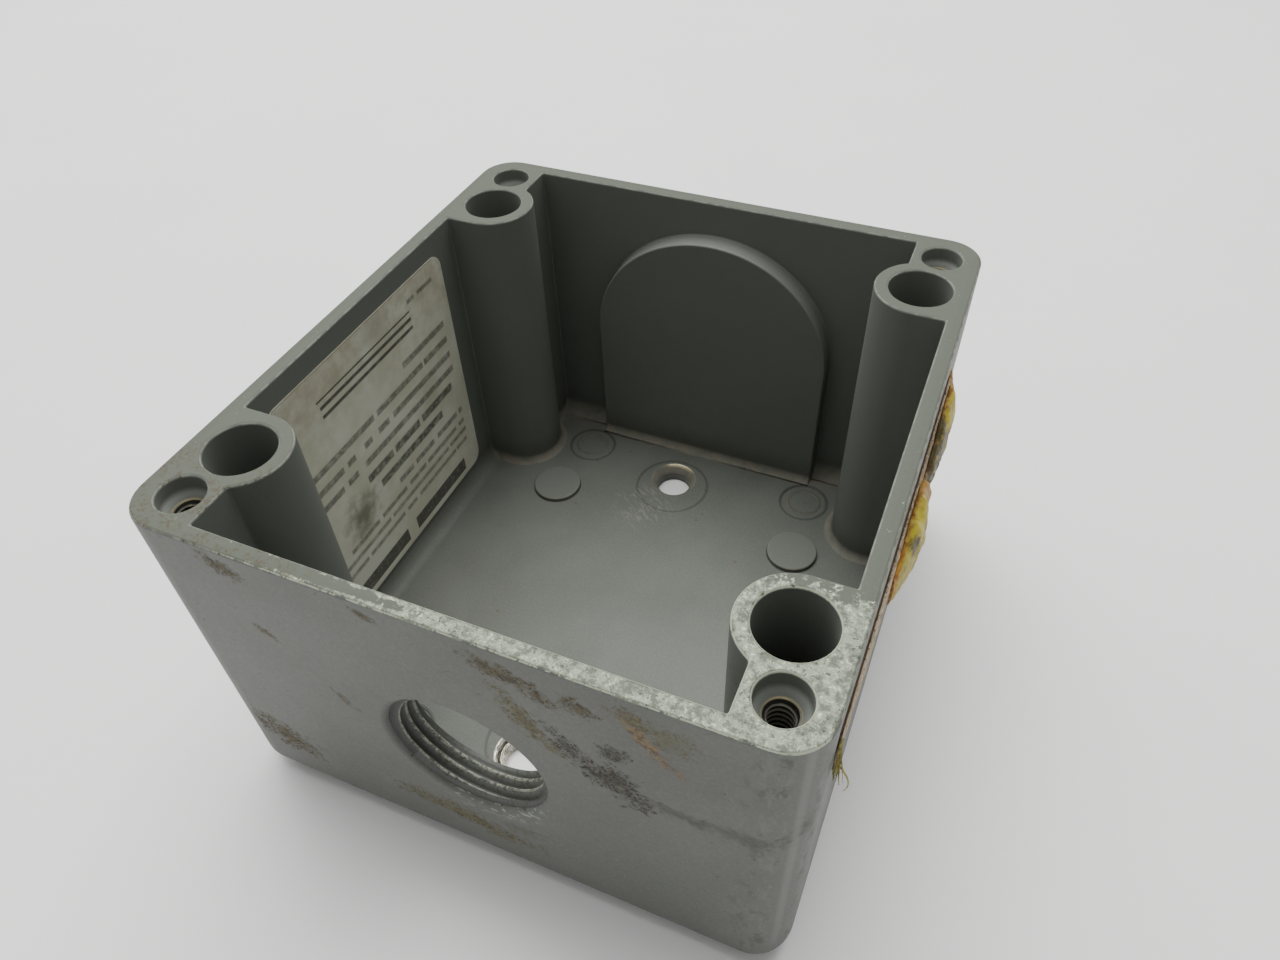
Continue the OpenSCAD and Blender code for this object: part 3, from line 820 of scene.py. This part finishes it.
def ragged_strip(node, name, material, fray, seed, thinning=((-60, 1), (60, 1))):
    """The thin strip that a CAD slab stands for, with torn edges, an uneven face and a thinner end."""
    low, high = (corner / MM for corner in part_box(node))
    stations = int((high.y - low.y) / 0.4)
    rings = []
    for station in range(stations + 1):
        y = low.y + (high.y - low.y) * station / stations
        thick = (high.x - low.x) * between(thinning, y)
        top = high.z - fray * abs(wobble(y * 0.5, seed)) - fray * max(0, wobble(y * 1.7, seed, 3) - 0.35) * 3
        foot = low.z + 2.5 * fray * abs(wobble(y * 0.4, seed, 9))
        ring = [(low.x, foot), (low.x, top)]
        for part in range(7):
            z = top - (top - foot) * part / 6
            round_off = 0.45 * thick * (part in (0, 6))
            x = low.x + thick * (1 + 0.28 * wobble(y * 0.8, z * 0.6, seed)) - round_off
            ring.append((min(max(x, low.x + 0.03), high.x + 0.1), z))
        rings.append([(x, y, z) for x, z in ring])
    made = bmesh.new()
    loft(made, rings)
    new_piece(name, made, material, (node,))


# Outline of each lump from above: places along Y, distance its face stands off the wall.
REAR_LUMP = (
    (2.6, 1.1), (5, 1.95), (8, 2.2), (11.5, 2.35), (16, 2.55), (19.5, 2.55), (22.5, 2.05),
    (25, 1.25), (28, 0.7), (30.5, 0.12),
)
FRONT_LUMP = (
    (-19.6, 1.1), (-18.3, 1.6), (-15.5, 2.15), (-13, 2.6), (-10.6, 3.05), (-7, 3.25), (-5.5, 3.1),
    (-3.3, 2.3), (-1, 2.35), (0.9, 2.45), (2.1, 1.1),
)


def adhesive_material():
    """Glue gone yellow-olive where it stands proud, amber to nearly black near the strip."""
    s = Shade("amber_adhesive")
    cloud, patch = s.noise(1.8, 4, 0.6, (1, 2.4, 1)), s.noise(0.8, 4, 0.65, (1, 2.4, 1))
    fine = s.noise(0.5, 3, 0.6)
    proud = s.ramp(s.plus(s.x, s.times(s.math("SUBTRACT", patch, 0.5), 1.6)), HALF_W + 0.9, HALF_W + 1.6)
    olive = s.mix(s.ramp(cloud, 0.38, 0.6), (0.27, 0.21, 0.015), (0.45, 0.37, 0.03))
    amber = s.mix(s.ramp(patch, 0.4, 0.6), (0.2, 0.09, 0.02), (0.4, 0.23, 0.05))
    amber = s.mix(s.ramp(s.away(s.y, -16.2, s.z, 57), 4.5, 1.5), amber, (0.5, 0.17, 0.025))
    root = s.times(s.ramp(s.plus(s.y, s.times(cloud, 4)), -2.5, -0.5), s.ramp(s.y, 4, 2.5))
    colour = s.mix(s.times(root, 0.8), s.mix(proud, amber, olive), (0.34, 0.17, 0.035))
    behind = s.ramp(s.plus(s.y, s.times(cloud, 9)), 20, 16)
    char = s.times(behind, s.ramp(s.y, 2, 3.5), s.ramp(patch, 0.3, 0.42))
    spot = s.ramp(s.plus(s.away(s.y, -12.8, s.z, 59.5), s.times(patch, 3)), 3.4, 2.2)
    colour = s.mix(s.times(s.most(char, spot), 0.9), colour, (0.04, 0.032, 0.016))
    # painted sheen: pale patches on the proudest parts of the glue, towards the front
    pale_sheen = s.times(
        s.ramp(s.x, HALF_W + 1.9, HALF_W + 2.4), s.ramp(patch, 0.52, 0.62), s.ramp(s.y, 14, 9), 0.15,
    )
    colour = s.mix(pale_sheen, colour, (0.62, 0.6, 0.48))
    height = s.plus(s.times(fine, 0.03), s.times(cloud, 0.12))
    return s.set(
        Base_Color=colour, Roughness=0.5, Specular_IOR_Level=0.2, Normal=s.bump(height, 1),
    )


def adhesive_lump(node, name, outline, material, seed):
    """Irregular blob lying on the strip and the wall behind it, as proud as its outline says."""
    low, high = (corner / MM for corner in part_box(node))
    centre, reach = (low.z + high.z) / 2, (high.z - low.z) / 2
    first, last = outline[0][0], outline[-1][0]
    stations, around = int((last - first) / 0.18), 26
    strip_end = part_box("backing_strip")[1].y / MM
    rings = []
    for station in range(stations + 1):
        share = station / stations
        y = first + (last - first) * share
        base = HALF_W + between(((strip_end - 1.5, 0.7), (strip_end + 0.6, -0.05)), y)
        proud = max(HALF_W + between(outline, y) * (1 + 0.08 * wobble(y * 0.6, seed, octaves=2)) - base, 0.06)
        half = reach * (0.3 + 0.65 * math.sin(math.pi * min(max(share, 0.03), 0.97)) ** 0.6)
        half *= 1 + 0.15 * wobble(y * 0.3, seed, 5, octaves=2)
        ring = []
        for part in range(around + 1):
            turn = math.pi * part / around
            lump = 1 + 0.14 * wobble(y * 0.25, 2.2 * math.cos(turn), seed, octaves=2)
            x = base + proud * max(math.sin(turn), 0) ** 0.6 * lump
            ring.append((x, y + 0.12 * wobble(turn * 2, y * 0.5, seed), centre + half * math.cos(turn)))
        rings.append(ring)
    made = bmesh.new()
    loft(made, rings)
    new_piece(name, made, material, (node,))


def strand(made, points, radius, flat=0.6, sides=6):
    """Adds a thin tapering fibre along points, flattened to the share flat."""
    rings = []
    corners = [TAU * side / sides for side in range(sides)]
    for index, point in enumerate(points):
        before, after = points[max(index - 1, 0)], points[min(index + 1, len(points) - 1)]
        turn = (after - before).to_track_quat("Z", "Y")
        size = radius * (1 - 0.8 * index / (len(points) - 1))
        rings.append([
            point + turn @ Vector((size * math.cos(corner), flat * size * math.sin(corner), 0))
            for corner in corners
        ])
    loft(made, rings)


def torn_shred(material):
    """Torn end of the film: fibres fanning out from its corner, one of them hooked outwards."""
    low, high = (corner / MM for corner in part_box("torn_film_shred"))
    made = bmesh.new()
    fibres = 19
    for fibre in range(fibres):
        fan = fibre / (fibres - 1)
        start_z = high.z - 0.4 - 3.2 * ((fibre * 7) % fibres) / fibres
        start = Vector((low.x + 0.1 + 0.1 * fan, high.y + 0.4, start_z))
        length = 3.3 + 1.5 * wobble(fibre * 3, 2)
        points = []
        for index in range(13):
            t = index / 12
            points.append(start + Vector((
                (0.05 + 1.3 * fan ** 3) * t ** 1.5 + 0.25 * t * wobble(t * 2, fibre, 3),
                -length * t,
                -(0.8 + 1.6 * fan) * t * t + 0.3 * wobble(t * 3, fibre, 7),
            )))
        strand(made, points, 0.11 if fibre % 4 else 0.24, 0.5 if fibre % 4 else 0.25)
    hook = [
        Vector((low.x + 0.55 + 1.6 * math.sin(2.3 * t), high.y - 1.6 - 2.6 * t, high.z - 3.2 - 0.9 * t))
        for t in (index / 14 for index in range(15))
    ]
    strand(made, hook, 0.17, 0.8)
    new_piece("torn_shred", made, material, ("torn_film_shred",))


# Share of its thickness that the backing keeps along Y, towards its torn front end.
BACKING_THINNING = ((-47, 0.15), (-41, 0.3), (-32, 0.45), (-22, 0.5), (-16, 0.55), (2, 0.5), (23, 0.45))


def add_residue():
    """The torn strip on the right wall, its glue and its frayed end."""
    film = strip_material("dark_film", (0.15, 0.095, 0.06), (0.06, 0.036, 0.024), 0.5)
    ragged_strip("adhesive_film", "torn_film_layer", film, 0.15, 11)
    cream = strip_material("cream_backing", (0.6, 0.5, 0.36), (0.3, 0.22, 0.13), 0.8)
    ragged_strip("backing_strip", "torn_backing_layer", cream, 0.5, 23, BACKING_THINNING)
    glue = adhesive_material()
    adhesive_lump("adhesive_lump_rear", "glue_lump_rear", REAR_LUMP, glue, 31)
    adhesive_lump("adhesive_lump_front", "glue_lump_front", FRONT_LUMP, glue, 47)
    torn_shred(strip_material("torn_film", (0.5, 0.44, 0.13), (0.26, 0.22, 0.06), 0.6))


# ---------------------------------------------------------------- stage


def make_floor():
    """Plain pale paper under the object."""
    bpy.ops.mesh.primitive_plane_add(size=6, location=(0, 0, -0.05 * MM))
    paper = bpy.context.object
    paper.name = "paper"
    s = Shade("paper")
    tint = s.mix(s.ramp(s.noise(60, 2), 0.35, 0.65), (0.955, 0.94, 0.96), (0.97, 0.955, 0.975))
    paper.data.materials.append(s.set(Base_Color=tint, Roughness=0.8))


make_camera()
make_light()
make_floor()
finish_casting()
finish_label()
add_ejector_rings()
add_threads()
add_residue()
